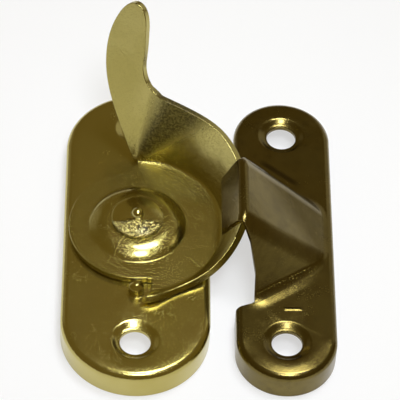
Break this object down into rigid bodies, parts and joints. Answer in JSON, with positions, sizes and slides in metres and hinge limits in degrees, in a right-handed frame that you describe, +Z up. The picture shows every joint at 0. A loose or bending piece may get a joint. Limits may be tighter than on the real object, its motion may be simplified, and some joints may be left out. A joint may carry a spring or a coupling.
{
  "type": "sash lock",
  "caption": "Pressed sash lock: a cam lever with a thumb piece turns on a plain base and hooks under the raised hood of a separate keeper plate.",
  "frame": {"origin": "centre of the base's two screw holes, on the lever's pivot axis, in the plane the base and keeper are screwed to", "axes": "+Z up, away from the mounting plane; +X from the base to the keeper; +Y along both plates, to the end where the lever's thumb piece stands when locked"},
  "size_m": [0.0467, 0.0636, 0.033],
  "materials": {
    "plated_base": "bright plated pressed steel",
    "plated_keeper": "bright plated pressed steel, a little darker",
    "plated_lever": "bright plated pressed steel",
    "plated_rivet": "bright plated, with a spun head",
    "spring_steel": "plain spring steel"
  },
  "bodies": {
    "base": {"base_plate": "plated_base", "keeper_plate": "plated_keeper", "pivot_rivet": "plated_rivet", "back_washer": "spring_steel", "spring_washer": "spring_steel"},
    "lever": {"cam_lever": "plated_lever"}
  },
  "joints": [
    {"name": "lever_turn", "type": "hinge", "parent": "base", "child": "lever", "pos_m": [0, 0, 0.006], "axis": [0, 0, 1], "range_deg": [0, 168]}
  ]
}
